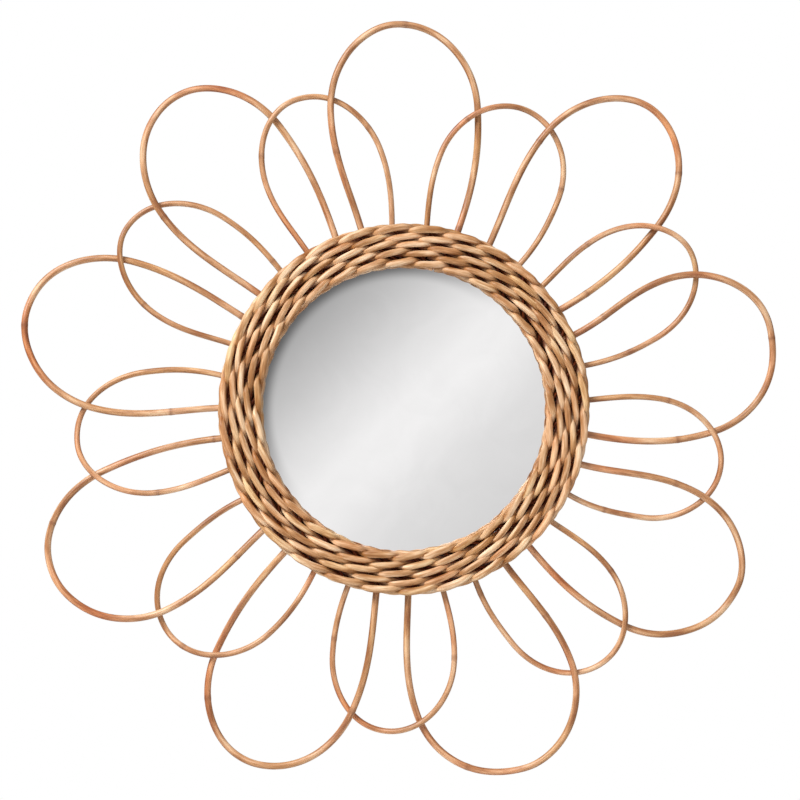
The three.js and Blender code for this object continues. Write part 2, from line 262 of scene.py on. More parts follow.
bm = bmesh.new()
bmesh.ops.create_circle(bm, cap_ends=True, segments=96, radius=FLOOR_RADIUS,
                        matrix=Matrix.Translation((0, 0, FLOOR_HEIGHT)))
floor_mesh = bpy.data.meshes.new("floor")
bm.to_mesh(floor_mesh)
bm.free()
floor_mesh.materials.append(floor_paint)
floor = bpy.data.objects.new("floor", floor_mesh)
scene.collection.objects.link(floor)
print("Floor at", FLOOR_HEIGHT)

# %% [markdown]
# A mirror shows the room, so the room makes its finish. In the photograph the glass runs from
# mid grey at the upper left, through near white along its middle, to pale grey at the lower
# right, with a soft dark rim at the upper left. A large card behind the camera carries that
# sweep of tone, and only the glass sees it.
#
# The tones are placed where they should show on the glass. A ray that meets the glass runs on
# to the card and spreads on the way, so a Mapping node shrinks the card's places to the glass.

# %% Tones on the card
CARD_DISTANCE = 4.2
SWEEP_REACH = mm(105)
RIM_START = mm(95)
RIM_SHADE_END = mm(10)
RIM_SHADE = "#636363"
SWEEP_TONES = (
    (0.0, "#a6a6a6"), (1.0, "#d9d9d9"), (0.2, "#cccccc"), (0.34, "#e4e4e4"),
    (0.48, "#f5f5f5"), (0.58, "#f5f5f5"), (0.78, "#e3e3e3"),
)

to_camera = -camera.location.y - GLASS_FRONT
to_card = CARD_DISTANCE - GLASS_FRONT
spread = 1 + to_card / to_camera

card_paint = bpy.data.materials.new("graded studio card")
card_paint.use_nodes = True
tree = card_paint.node_tree
tree.nodes.clear()
place = add_node(tree, "ShaderNodeTexCoord")
on_glass = add_node(tree, "ShaderNodeMapping", {
    "Vector": place.outputs["Object"],
    "Location": (camera.location.x * (spread - 1) / spread, 0,
                 camera.location.z * (spread - 1) / spread),
    "Scale": (1 / spread, 0, 1 / spread),
})
falling = add_node(tree, "ShaderNodeVectorMath", {
    0: on_glass.outputs["Vector"], 1: (math.sqrt(0.5), 0, -math.sqrt(0.5)),
}, operation="DOT_PRODUCT")
along_sweep = add_node(tree, "ShaderNodeMapRange", {
    "Value": falling.outputs["Value"], "From Min": -SWEEP_REACH, "From Max": SWEEP_REACH,
})
sweep_tone = add_node(tree, "ShaderNodeValToRGB", {"Fac": along_sweep.outputs["Result"]},
                      stops=SWEEP_TONES)
off_centre = add_node(tree, "ShaderNodeVectorMath", {0: on_glass.outputs["Vector"]},
                      operation="LENGTH")
near_rim = add_node(tree, "ShaderNodeMapRange", {
    "Value": off_centre.outputs["Value"], "From Min": RIM_START, "From Max": SWEEP_REACH,
}, interpolation_type="SMOOTHSTEP")
upper_left = add_node(tree, "ShaderNodeMapRange", {
    "Value": falling.outputs["Value"], "From Min": RIM_SHADE_END, "From Max": -SWEEP_REACH,
}, interpolation_type="SMOOTHSTEP")
rim_shade = add_node(tree, "ShaderNodeMath", {
    0: near_rim.outputs["Result"], 1: upper_left.outputs["Result"],
}, operation="MULTIPLY")
card_tone = add_node(tree, "ShaderNodeMix", {
    0: rim_shade.outputs["Value"], 6: sweep_tone.outputs["Color"], 7: srgb(RIM_SHADE),
}, data_type="RGBA")
glow = add_node(tree, "ShaderNodeEmission", {"Color": card_tone.outputs[2]})
add_node(tree, "ShaderNodeOutputMaterial", {"Surface": glow.outputs["Emission"]})
print("The glass spreads over", round(2 * OPENING_RADIUS * spread, 3), "m of the card")

# %% Card that the glass reflects
CARD_SIZE = 4.0

bm = bmesh.new()
facing_glass = Matrix.Translation((0, -CARD_DISTANCE, 0)) @ Matrix.Rotation(
    math.radians(-90), 4, "X")
bmesh.ops.create_grid(bm, x_segments=1, y_segments=1, size=CARD_SIZE / 2,
                      matrix=facing_glass)
card_mesh = bpy.data.meshes.new("card")
bm.to_mesh(card_mesh)
bm.free()
card_mesh.materials.append(card_paint)
card = bpy.data.objects.new("card", card_mesh)
card.visible_camera = False
card.visible_diffuse = False
card.visible_shadow = False
scene.collection.objects.link(card)
print("Card:", CARD_SIZE, "m wide")

# %% [markdown]
# ## Rattan
#
# Rattan core is a pale, straight-grained wood without bark. Its pores show as fine streaks
# along the rod, its tone drifts from straw to reddish brown, and each joint of the vine
# leaves a short darker band. The streaks must follow the rod round its bend, so every strand
# carries an attribute, `straight`, which is the place each point had before the rod was bent.
# The materials read that instead of the object's own axes. A second attribute, `joint`, is 1
# at a joint of the vine and 0 away from it.
#
# A strand is also darkened where it dives between its neighbours, as painted shade. Those places
# are the ones that lie deep in the ring and away from both its edges.

# %% Painted shade where a strand dives
PAINTED_SHADE_START = mm(16.5)  # off the wall
PAINTED_SHADE_END = mm(14.8)
OPENING_EDGE = mm(107.5, 110)
OUTER_EDGE = mm(133.5, 136)
PAINTED_SHADE_DARKNESS = 0.9


def painted_dive_shade(tree):
    """How strongly painted shade darkens a strand at each point for lying deep in the ring."""
    place = add_node(tree, "ShaderNodeTexCoord")
    axes = add_node(tree, "ShaderNodeSeparateXYZ", {0: place.outputs["Object"]})
    deep = add_node(tree, "ShaderNodeMapRange", {
        "Value": axes.outputs["Y"], "From Min": -PAINTED_SHADE_START, "From Max": -PAINTED_SHADE_END,
        "To Min": 0.0, "To Max": PAINTED_SHADE_DARKNESS,
    }, interpolation_type="SMOOTHSTEP")
    flat = add_node(tree, "ShaderNodeVectorMath", {
        0: place.outputs["Object"], 1: (1, 0, 1),
    }, operation="MULTIPLY")
    radius = add_node(tree, "ShaderNodeVectorMath", {0: flat.outputs["Vector"]},
                      operation="LENGTH")
    past_opening = add_node(tree, "ShaderNodeMapRange", {
        "Value": radius.outputs["Value"],
        "From Min": OPENING_EDGE[0], "From Max": OPENING_EDGE[1],
    }, interpolation_type="SMOOTHSTEP")
    inside_edge = add_node(tree, "ShaderNodeMapRange", {
        "Value": radius.outputs["Value"],
        "From Min": OUTER_EDGE[1], "From Max": OUTER_EDGE[0],
    }, interpolation_type="SMOOTHSTEP")
    enclosed = add_node(tree, "ShaderNodeMath", {
        0: past_opening.outputs["Result"], 1: inside_edge.outputs["Result"],
    }, operation="MULTIPLY")
    share = add_node(tree, "ShaderNodeMath", {
        0: deep.outputs["Result"], 1: enclosed.outputs["Value"],
    }, operation="MULTIPLY")
    return share.outputs["Value"]


print("A strand darkens from", PAINTED_SHADE_START, "to", PAINTED_SHADE_END, "m off the wall")

# %% Pores of rattan


def pore_noise(tree, pore_width, pore_length):
    """A noise that is drawn out along the straight rod, as its pores are."""
    grown = add_node(tree, "ShaderNodeAttribute", attribute_name="straight")
    drawn_out = add_node(tree, "ShaderNodeMapping", {
        "Vector": grown.outputs["Vector"], "Scale": (1, 1, pore_width / pore_length),
    })
    pores = add_node(tree, "ShaderNodeTexNoise", {
        "Vector": drawn_out.outputs["Vector"], "Scale": 1 / pore_width, "Detail": 4.0,
        "Roughness": 0.65,
    })
    return pores.outputs["Fac"]


print("Pores are drawn out along each rod")

# %% Colour of rattan
TONE_LENGTH = mm(30)
GIRTH_RATE = 8  # the tone changes this much faster round a rod than along it
PORE_TONES = ((0.3, "#c9b49d"), (0.62, "#ffffff"))
PORE_STRENGTH = 0.75
TINT_LENGTH = mm(120)
TINT_STRENGTH = 0.9
JOINT_COLOUR = "#7a4526"
JOINT_STRENGTH = 0.6


def wood_colour(tree, pores, tones, olive, blush):
    """Four tones from dark to pale, darker in the pores and at the joints, and tinted."""
    grown = add_node(tree, "ShaderNodeAttribute", attribute_name="straight")
    joint = add_node(tree, "ShaderNodeAttribute", attribute_name="joint")
    slow = add_node(tree, "ShaderNodeMapping", {
        "Vector": grown.outputs["Vector"], "Scale": (GIRTH_RATE, GIRTH_RATE, 1),
    })
    drift = add_node(tree, "ShaderNodeTexNoise", {
        "Vector": slow.outputs["Vector"], "Scale": 1 / TONE_LENGTH, "Detail": 3.0,
        "Roughness": 0.6,
    })
    tone = add_node(tree, "ShaderNodeValToRGB", {"Fac": drift.outputs["Fac"]}, stops=(
        (0.34, tones[0]), (0.66, tones[3]), (0.45, tones[1]), (0.55, tones[2]),
    ))
    pore_tone = add_node(tree, "ShaderNodeValToRGB", {"Fac": pores}, stops=PORE_TONES)
    streaked = add_node(tree, "ShaderNodeMix", {
        0: PORE_STRENGTH, 6: tone.outputs["Color"], 7: pore_tone.outputs["Color"],
    }, data_type="RGBA", blend_type="MULTIPLY")
    # Each rod runs through olive and reddish lengths, a hand or so long
    lengths = add_node(tree, "ShaderNodeTexNoise", {
        "Vector": grown.outputs["Vector"], "Scale": 1 / TINT_LENGTH, "Detail": 2.0, "W": 3.0,
    }, noise_dimensions="4D")
    tint = add_node(tree, "ShaderNodeValToRGB", {"Fac": lengths.outputs["Fac"]},
                    stops=((0.36, olive), (0.64, blush), (0.5, "#ffffff")))
    tinted = add_node(tree, "ShaderNodeMix", {
        0: TINT_STRENGTH, 6: streaked.outputs[2], 7: tint.outputs["Color"],
    }, data_type="RGBA", blend_type="MULTIPLY")
    at_joint = add_node(tree, "ShaderNodeMath", {0: joint.outputs["Fac"], 1: JOINT_STRENGTH},
                        operation="MULTIPLY")
    jointed = add_node(tree, "ShaderNodeMix", {
        0: at_joint.outputs["Value"], 6: tinted.outputs[2], 7: srgb(JOINT_COLOUR),
    }, data_type="RGBA")
    return jointed.outputs[2]


print("Tone drifts over", TONE_LENGTH, "m and tint over", TINT_LENGTH, "m of rod")

# %% Rattan finish
DULL_PORE = 0.58
SMOOTH_WOOD = 0.36
PORE_RELIEF = mm(0.12)
LACQUER_IOR = 1.47
LACQUER_ROUGHNESS = 0.35
LACQUER_SHARE = 0.3  # of the shine


def rattan(name, tones, olive, blush, pore_width, pore_length, shine, painted_shade_colour=None):
    """Lacquered rattan, whose pores take less lacquer: they are duller and a little sunken."""
    material, tree, shader = new_material(name)
    pores = pore_noise(tree, pore_width, pore_length)
    colour = wood_colour(tree, pores, tones, olive, blush)
    # Painted shade: the strand's colour is darkened where it lies deep in the ring
    if painted_shade_colour:
        darkened = add_node(tree, "ShaderNodeMix", {
            0: painted_dive_shade(tree), 6: colour, 7: srgb(painted_shade_colour),
        }, data_type="RGBA")
        colour = darkened.outputs[2]
    tree.links.new(colour, shader.inputs["Base Color"])
    dullness = add_node(tree, "ShaderNodeMapRange", {
        "Value": pores, "To Min": DULL_PORE, "To Max": SMOOTH_WOOD,
    })
    tree.links.new(dullness.outputs["Result"], shader.inputs["Roughness"])
    relief = add_node(tree, "ShaderNodeBump", {
        "Height": pores, "Strength": 0.5, "Distance": PORE_RELIEF,
    })
    tree.links.new(relief.outputs["Normal"], shader.inputs["Normal"])
    shader.inputs["IOR"].default_value = LACQUER_IOR
    shader.inputs["Specular IOR Level"].default_value = shine
    shader.inputs["Coat Weight"].default_value = LACQUER_SHARE * shine
    shader.inputs["Coat Roughness"].default_value = LACQUER_ROUGHNESS
    return material


print("Roughness from", SMOOTH_WOOD, "to", DULL_PORE, "in the pores")

# %% Three kinds of rattan
# Peeled rods, steamed and bent, with a thin clear lacquer: warm tan with a soft shine
petal_rattan = rattan(
    "peeled rattan rod, steamed and lacquered",
    tones=("#a2673a", "#c08a5b", "#daa67a", "#f0c9a1"), olive="#eee2bc", blush="#f7c79e",
    pore_width=mm(0.7), pore_length=mm(18), shine=0.7)
# Thin core strands, soaked and twined: paler and yellower, with painted shade where they dive
# deep in the ring
weaver_rattan = rattan(
    "rattan core strand, soaked and twined",
    tones=("#a87240", "#c99869", "#e6bd94", "#ffe2c0"), olive="#f6eed2", blush="#fae2cc",
    pore_width=mm(0.6), pore_length=mm(12), shine=0.4, painted_shade_colour="#6b2400")
# Core for the ribs, which only show in the gaps: deep brown tones as painted shade in the gaps
rib_rattan_painted_shade = rattan(
    "rattan core rib, deep brown as painted shade",
    tones=("#4a1a02", "#562105", "#642b0b", "#743812"), olive="#ebe2c0", blush="#f2b894",
    pore_width=mm(0.6), pore_length=mm(12), shine=0.15)
print("Rattan finishes:", petal_rattan.name, "/", weaver_rattan.name, "/", rib_rattan_painted_shade.name)

# %% [markdown]
# ## A rod is a sheet rolled round a line
#
# Every rod and strand on this mirror is a round section drawn along a bent line. It could be
# a bevelled curve object, but a weaver's section changes where it is pressed past itself, and
# the grain has to remember how the straight rod lay. So a flat grid is made first, as many
# faces long as the rod has steps and as many wide as its section has sides. It is rolled
# up round the centre line station by station, its seam is merged, and its ends are filled.
# Each point also keeps the place it had on the straight rod.

# %% Rolling a sheet round a line of stations
MERGE_DISTANCE = mm(0.001)

Station = namedtuple("Station", "point tangent width depth along joint")


def sweep(sides, stations):
    """A bmesh of a rod with flat ends whose section passes through the stations."""
    bm = bmesh.new()
    straight = bm.verts.layers.float_vector.new("straight")
    joint = bm.verts.layers.float.new("joint")
    last = len(stations) - 1
    bmesh.ops.create_grid(bm, x_segments=last, y_segments=sides, size=0.5)
    axes = []
    for station in stations:
        side = FRONT.cross(station.tangent).normalized()
        axes.append((side, station.tangent.cross(side)))
    for vert in bm.verts:
        i = round((vert.co.x + 0.5) * last)
        turn = 2 * math.pi * (vert.co.y + 0.5)
        station, (side, out) = stations[i], axes[i]
        across = station.width * math.cos(turn)
        forward = station.depth * math.sin(turn)
        vert.co = station.point + side * across + out * forward
        vert[straight] = (across, forward, station.along)
        vert[joint] = station.joint
    seam = [vert for vert in bm.verts if vert.is_boundary]
    bmesh.ops.remove_doubles(bm, verts=seam, dist=MERGE_DISTANCE)
    bmesh.ops.holes_fill(bm, edges=[edge for edge in bm.edges if edge.is_boundary])
    bmesh.ops.recalc_face_normals(bm, faces=bm.faces)
    for face in bm.faces:
        face.smooth = len(face.verts) == 4
    return bm


print("A station holds", ", ".join(Station._fields))

# %% Finishing a piece


def finish_piece(name, bm, material, slot, *nodes):
    """Turns a bmesh into a piece that rides on the mirror and stands for its CAD nodes."""
    mesh = bpy.data.meshes.new(name)
    bm.to_mesh(mesh)
    bm.free()
    mesh.materials.append(material)
    piece = bpy.data.objects.new(name, mesh)
    scene.collection.objects.link(piece)
    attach(piece, "root")
    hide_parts(*nodes)
    return piece


def triangle_count(bm):
    """How many triangles the faces of a bmesh come to."""
    return sum(len(face.verts) - 2 for face in bm.faces)


print("Each piece rides on the root body")

# %% [markdown]
# ## Petals
#
# Each petal is one rod, bent by hand round a former. Its two legs lie under the ring, it
# widens to a belly, and it closes in a round tip. Four Bezier curves that meet at the belly
# and at the tip draw that line, and each petal has its own angles and shares, because no two
# are quite alike. The left side of a petal lies in front and its right side behind, so that
# neighbours pass each other where they cross.

# %% Petal sizes
# The belly is the share of a petal's height at which it is widest
LARGE = {"reach": mm(285), "half_width": mm(56), "belly": 0.577, "radius": mm(2.5)}
SMALL = {"reach": mm(240), "half_width": mm(45), "belly": 0.497, "radius": mm(2.12)}
LEG_SPLAY = math.radians(3)
LEG_INSET = mm(19)  # how far a leg reaches in under the ring
SIDE_STRAIGHTNESS = 0.36
ROUNDNESS = 0.5523  # the share that makes a Bezier curve a quarter of a circle

# The angles of the left leg, the right leg and the tip, and then what the petal has of its
# size's reach and of the half width on its left and its right
LARGE_PETALS = (
    (346.6, 16.8, -1, 1.003, 0.95, 1),
    (27.4, 57.5, 40.1, 1.014, 0.96, 0.97),
    (66.4, 97.8, 77.4, 0.978, 1.01, 1.11),
    (107.3, 137.6, 118.7, 0.985, 0.96, 1.05),
    (146.8, 178.7, 161.5, 0.986, 1.06, 1.1),
    (188.6, 219.9, 204.3, 1.002, 1.02, 0.95),
    (229.4, 261, 245, 1.011, 1.08, 0.94),
    (270.4, 299.8, 285, 1.016, 1.05, 0.96),
    (308.5, 338.3, 323.1, 1.009, 1.02, 0.93),
)
SMALL_PETALS = (
    (7.1, 38.6, 22.3, 1, 1.05, 1.03),
    (48.3, 76.4, 61.2, 1.012, 0.97, 0.95),
    (87.1, 117.4, 100.6, 0.996, 0.99, 0.99),
    (127.3, 157.4, 141.8, 0.998, 1.05, 0.97),
    (167.8, 197.6, 183.1, 0.997, 1.04, 0.97),
    (209, 240.8, 226.1, 1.006, 1.09, 0.98),
    (250.9, 280.5, 264.1, 1.017, 0.99, 1.01),
    (290.7, 318.3, 303.3, 1.025, 0.97, 0.98),
    (328.4, 356.3, 340.6, 1.015, 0.96, 1.01),
)
print("Petals:", len(LARGE_PETALS), "large and", len(SMALL_PETALS), "small")

# %% Helpers for lines


def smoothstep(value, low, high):
    """0 below low, 1 above high, and a smooth rise between."""
    share = min(max((value - low) / (high - low), 0), 1)
    return share * share * (3 - 2 * share)


def evenly(line, step):
    """Points about a step apart along a line of close points."""
    total = sum((b - a).length for a, b in zip(line, line[1:]))
    count = round(total / step)
    spacing = total / count
    points = [line[0]]
    gone = 0.0
    for a, b in zip(line, line[1:]):
        length = (b - a).length
        while len(points) < count and gone + length >= spacing * len(points):
            points.append(a.lerp(b, (spacing * len(points) - gone) / length))
        gone += length
    points.append(line[-1])
    return points


def tangents(points):
    """The direction of the line at each of its points."""
    last = len(points) - 1
    return [(points[min(i + 1, last)] - points[max(i - 1, 0)]).normalized()
            for i in range(len(points))]


print("Halfway up a smooth step:", smoothstep(0.5, 0, 1))

# %% Curves of one petal


def petal_curves(petal, size):
    """A petal's curves from leg to leg, the middle of its foot and the direction across it."""
    left_angle, right_angle, tip_angle = (math.radians(a) for a in petal[:3])
    reach = petal[3] * size["reach"]
    left_half, right_half = (share * size["half_width"] for share in petal[4:])
    left = polar(RING_RADIUS, left_angle)
    right = polar(RING_RADIUS, right_angle)
    tip = polar(reach, tip_angle)
    foot = (left + right) / 2
    height = tip - foot
    up = height.normalized()
    across = Vector((up.z, 0, -up.x))
    middle = foot + height * size["belly"]
    left_side = middle - across * left_half
    right_side = middle + across * right_half
    left_out = polar(1, left_angle - LEG_SPLAY)
    right_out = polar(1, right_angle + LEG_SPLAY)
    crown = height.length * (1 - size["belly"]) * ROUNDNESS
    left_rise = (left_side - left).length * SIDE_STRAIGHTNESS
    right_rise = (right_side - right).length * SIDE_STRAIGHTNESS
    left_end = left - left_out * LEG_INSET
    right_end = right - right_out * LEG_INSET
    curves = (
        (left_end, left_end.lerp(left, 1 / 3), left_end.lerp(left, 2 / 3), left),
        (left, left + left_out * left_rise, left_side - up * left_rise, left_side),
        (left_side, left_side + up * crown, tip - across * left_half * ROUNDNESS, tip),
        (tip, tip + across * right_half * ROUNDNESS, right_side + up * crown, right_side),
        (right_side, right_side - up * right_rise, right + right_out * right_rise, right),
        (right, right.lerp(right_end, 1 / 3), right.lerp(right_end, 2 / 3), right_end),
    )
    return curves, foot, across


print("Curves in a petal:", len(petal_curves(LARGE_PETALS[0], LARGE)[0]))

# %% Line of one petal
CURVE_POINTS = 120
STATION_STEP = mm(2)
TIP_TURN = mm(9)  # how far across from the tip the rod has passed to the front or the back
ROD_TWIST = mm(2.55)  # how far each side of a petal then lies in front of its legs or behind
LEG_SETTLE = mm(30)  # how far past the ring the legs have left their flat seat


def petal_line(petal, size):
    """Points along a petal's rod from leg to leg, and how far each is out of the ring."""
    curves, foot, across = petal_curves(petal, size)
    line = [curves[0][0]]
    for curve in curves:
        line.extend(interpolate_bezier(*curve, CURVE_POINTS)[1:])
    placed = []
    for point in evenly(line, STATION_STEP):
        outside = smoothstep(point.length, RING_RADIUS, RING_RADIUS + LEG_SETTLE)
        turn = math.tanh((point - foot).dot(across) / TIP_TURN)
        placed.append((Vector((point.x, -LEG_DEPTH + ROD_TWIST * turn * outside, point.z)),
                       outside))
    return placed


print("First petal:", len(petal_line(LARGE_PETALS[0], LARGE)), "points")

# %% [markdown]
# Natural rod isn't drawn wire. It wavers by a fraction of a millimetre, its thickness drifts
# by a few hundredths, and every 11 to 22 cm a joint of the vine leaves a slight swelling. The
# waver fades out near the ring, where the legs are pressed flat. Waver and drift are read from
# a noise, and each petal reads its own line through it.

# %% Stations of one petal's rod
WAVER = mm(0.7)
WAVER_LENGTH = mm(38)
WAVER_LINES_APART = 3.7
DRIFT = 0.04
DRIFT_LENGTH = mm(60)
DRIFT_LINE = 9.1
DRIFT_LINES_APART = 2.3
FIRST_JOINT = mm(40, 160)
JOINT_SPACING = mm(110, 220)
JOINT_SWELL = 0.07
JOINT_LENGTH = mm(1.5)
SPARE_ROD = 1.3  # of straight rod from the start of one piece's grain to the next one's

vine = random.Random(7)


def petal_stations(petal, size, index):
    """The stations of one petal's rod, with its waver, its drift and its joints."""
    placed = petal_line(petal, size)
    length = sum((b[0] - a[0]).length for a, b in zip(placed, placed[1:]))
    joints = []
    next_joint = vine.uniform(*FIRST_JOINT)
    while next_joint < length:
        joints.append(next_joint)
        next_joint += vine.uniform(*JOINT_SPACING)
    points = []
    along = [0.0]
    for i, (point, outside) in enumerate(placed):
        if i:
            along.append(along[-1] + (point - placed[i - 1][0]).length)
        phase = Vector((along[-1] / WAVER_LENGTH, index * WAVER_LINES_APART, 0))
        sideways = Vector((point.x, 0, point.z)).normalized()
        points.append(point + sideways * WAVER * outside * noise.noise(phase))
    stations = []
    for i, (point, tangent) in enumerate(zip(points, tangents(points))):
        nearest = min(abs(along[i] - joint) for joint in joints)
        ring = math.exp(-(nearest / JOINT_LENGTH) ** 2)
        phase = Vector((along[i] / DRIFT_LENGTH, DRIFT_LINE, index * DRIFT_LINES_APART))
        drift = 1 + DRIFT * noise.noise(phase)
        radius = size["radius"] * drift * (1 + JOINT_SWELL * ring)
        stations.append(Station(point, tangent, radius, radius,
                                along[i] + index * SPARE_ROD, ring))
    return stations


print("Joints every", JOINT_SPACING[0], "to", JOINT_SPACING[1], "m")

# %% Petal rods
ROD_SIDES = 14

triangles = 0
for petals, size, kind in ((LARGE_PETALS, LARGE, "large"), (SMALL_PETALS, SMALL, "small")):
    for i, petal in enumerate(petals):
        index = i if kind == "large" else i + len(LARGE_PETALS)
        bm = sweep(ROD_SIDES, petal_stations(petal, size, index))
        triangles += triangle_count(bm)
        finish_piece(f"{kind}_petal_rod_{i + 1}", bm, petal_rattan, "petal_rod",
                     f"petal_{kind}_{i + 1}")
print("Petal rods:", len(LARGE_PETALS) + len(SMALL_PETALS), "with", triangles, "triangles")

# %% [markdown]
# ## Woven ring
#
# The ring is twined: in each row two strands pass in front of a rib and behind it by turns,
# and swap places between the ribs. With an odd number of ribs the pair closes on itself as
# one strand that goes round twice. The centre line could be a plain helix pulled round the
# ring, but that looks like rope. A stiff strand lies straight and a little slanted along its
# stitch, then dives steeply between the ribs, so the depth here is a cosine pressed towards
# a square wave. The slants of all rows leave the long dark gaps that mark a twined ring.
#
# In the first and the last row the strand leans away from the edge where it changes sides, and
# the strand at the back fills the hollows of the one in front, which keeps both edges smooth.

# %% Sizes of the weave
STITCHES = 31
STITCH_PITCH = 360 / STITCHES
FIRST_STITCH = 4.4
ROW_STAGGER = 0.31  # of a stitch, from each row to the next one inwards
UNEVENNESS = 3.4  # degrees by which stitches are crowded towards one side
UNEVENNESS_ANGLE = 20
PINCH = 0.28  # of its width that a strand loses in the middle of a dive
STEEPNESS = 2.8  # of a dive: a larger value makes it steeper
STRAND_HALF_DEPTH = mm(1.85)
STRAND_FORWARD = mm(0.3)

# A strand sways in and out as it slants, and swings to the front and the back. dwell makes the
# slant straighter. edge is -1 for the row at the opening and 1 for the row at the outside, and
# there lift draws each dive away from the edge, and tuck moves the strand behind towards it.
Row = namedtuple("Row", "radius half_width sway swing dwell edge lift tuck")
INNER_ROW = Row(mm(108.5), mm(2.6), mm(1.6), mm(3), 0.15, -1, mm(0.7), mm(0.6))
MIDDLE_ROWS = tuple(Row(mm(radius), mm(2.35), mm(1.6), mm(2.95), 0.2, 0, 0.0, 0.0)
                    for radius in (115.35, 121.4, 127.4))
OUTER_ROW = Row(mm(134), mm(2.75), mm(1.6), mm(2.95), 0.2, 1, mm(0.6), mm(0.4))
ROWS = (INNER_ROW, *MIDDLE_ROWS, OUTER_ROW)
print("Rows:", len(ROWS), "of", STITCHES, "stitches each")

# %% How a strand turns
PITCH_ROUNDS = 6


def stitch_angle(index, turn):
    """The angle round the ring where a row's strand has turned so far.

    The unevenness depends on the angle itself, so the angle is worked out in a few rounds.
    """
    first = FIRST_STITCH + ROW_STAGGER * STITCH_PITCH * (len(ROWS) - 1 - index)
    even = first + STITCH_PITCH * turn / math.pi
    angle = even
    for _ in range(PITCH_ROUNDS):
        angle = even + UNEVENNESS * math.cos(math.radians(angle + UNEVENNESS_ANGLE))
    return math.radians(angle)


def in_front(turn):
    """1 where a strand lies in front, -1 where it lies behind, and a steep dive between."""
    return math.tanh(STEEPNESS * math.cos(turn)) / math.tanh(STEEPNESS)


def lean(row, turn):
    """How far a strand lies outside its row's radius."""
    slant = math.sin(turn - row.dwell * math.sin(2 * turn))
    tucked = row.tuck * (1 - in_front(turn)) / 2
    return row.sway * slant + row.edge * (tucked - row.lift * slant ** 2)


first_stitch = math.degrees(stitch_angle(len(ROWS) - 1, 0))
print("First stitch of the outer row at", round(first_stitch, 2), "degrees")

# %% [markdown]
# No row is a true circle either. As the weaver's hand packs the strands, each row strays
# slowly by up to 2 mm, and its neighbours go with it. The two edge rows hardly stray, because
# they are drawn tight. A noise that is read on a circle gives that, because it comes back to
# its own start.

# %% One row's strand
STRAY = mm(2.2)
EDGE_STRAY = 0.3
STRAY_CIRCLE = 2.4  # the circle's radius in the noise: a larger one strays more often
STRAY_ROWS_APART = 0.5
STRAND_DRIFT = 0.05
STRAND_DRIFT_LENGTH = mm(45)
STRAND_DRIFT_LINE = 1.7
STRAND_LINES_APART = 5.3
STRAND_START = -math.pi + math.pi / 6  # behind a rib and a little past it
STRAND_END_GAP = mm(0.6)
STEPS_PER_STITCH = 20


def stray(index, angle):
    """How far a row strays from its circle at an angle."""
    share = EDGE_STRAY if ROWS[index].edge else 1.0
    place = Vector((STRAY_CIRCLE * math.sin(angle), STRAY_CIRCLE * math.cos(angle),
                    STRAY_ROWS_APART * index))
    return share * STRAY * noise.noise(place)


def weaver_stations(index):
    """The stations of one row's strand, twice round the ring, with both ends at the back."""
    row = ROWS[index]
    end_turn = STITCHES * STRAND_END_GAP / (2 * row.radius)
    start = STRAND_START + end_turn
    span = 2 * STITCHES * math.pi - 2 * end_turn
    count = 2 * STITCHES * STEPS_PER_STITCH
    turns = [start + span * i / count for i in range(count + 1)]
    points = []
    for turn in turns:
        angle = stitch_angle(index, turn)
        points.append(polar(row.radius + lean(row, turn) + stray(index, angle), angle,
                            RING_MIDDLE + STRAND_FORWARD + row.swing * in_front(turn)))
    stations = []
    along = index * SPARE_ROD
    for i, (point, tangent) in enumerate(zip(points, tangents(points))):
        if i:
            along += (point - points[i - 1]).length
        pressed = 1 - PINCH * (1 - in_front(turns[i]) ** 2)
        phase = Vector((along / STRAND_DRIFT_LENGTH, index * STRAND_LINES_APART,
                        STRAND_DRIFT_LINE))
        drift = 1 + STRAND_DRIFT * noise.noise(phase)
        stations.append(Station(point, tangent, row.half_width * pressed * drift,
                                STRAND_HALF_DEPTH * drift, along, 0.0))
    return stations


print("Stations on each strand:", 2 * STITCHES * STEPS_PER_STITCH + 1)

# %% Rows of the ring
STRAND_SIDES = 12

triangles = 0
for index in range(len(ROWS)):
    bm = sweep(STRAND_SIDES, weaver_stations(index))
    triangles += triangle_count(bm)
    finish_piece(f"twined_row_{index + 1}", bm, weaver_rattan, "weaver",
                 f"weave_row_{index + 1}")
print("Twined rows:", len(ROWS), "with", triangles, "triangles")

# %% [markdown]
# The ribs are short straight lengths of core, one under each line of stitches, coloured deep
# brown as painted shade in the gaps. They only show in the gaps, so each is a plain round rod
# with a few stations.

# %% Ribs under the stitches
RIB_RADIUS = mm(1)
RIB_SIDES = 10

for index in range(STITCHES):
    turn = math.pi * index
    inner = polar(INNER_ROW.radius, stitch_angle(0, turn), RING_MIDDLE)
    outer = polar(OUTER_ROW.radius, stitch_angle(len(ROWS) - 1, turn), RING_MIDDLE)
    tangent = (outer - inner).normalized()
    stations = [Station(inner.lerp(outer, share), tangent, RIB_RADIUS, RIB_RADIUS,
                        index * SPARE_ROD + (outer - inner).length * share, 0.0)
                for share in (0, 0.25, 0.5, 0.75, 1)]
    finish_piece(f"rib_rod_{index + 1:02d}", sweep(RIB_SIDES, stations), rib_rattan_painted_shade, "rib",
                 f"rib_{index + 1:02d}")
print("Ribs:", STITCHES)

# %% [markdown]
# ## Glass
#
# The glass is a 3 mm float glass disc with silvering on its back and a ground edge. Its look
# is almost all reflection, so the shader is a clean metal, apart from an unsilvered rim that
# the ring covers. Faint wiped smears change its sharpness a little, as on any glass that has
# been cleaned by hand. The disc is a circle, extruded and given a small arris with a bevel.

# %% Silvered glass
SMEAR_SIZE = mm(45)
SILVER_EDGE = mm(109, 109.5)
GLASS_RIM_PAINTED_SHADE = "#33150a"  # the unsilvered rim takes the board's dark brown, as painted shade in the gaps of the weave
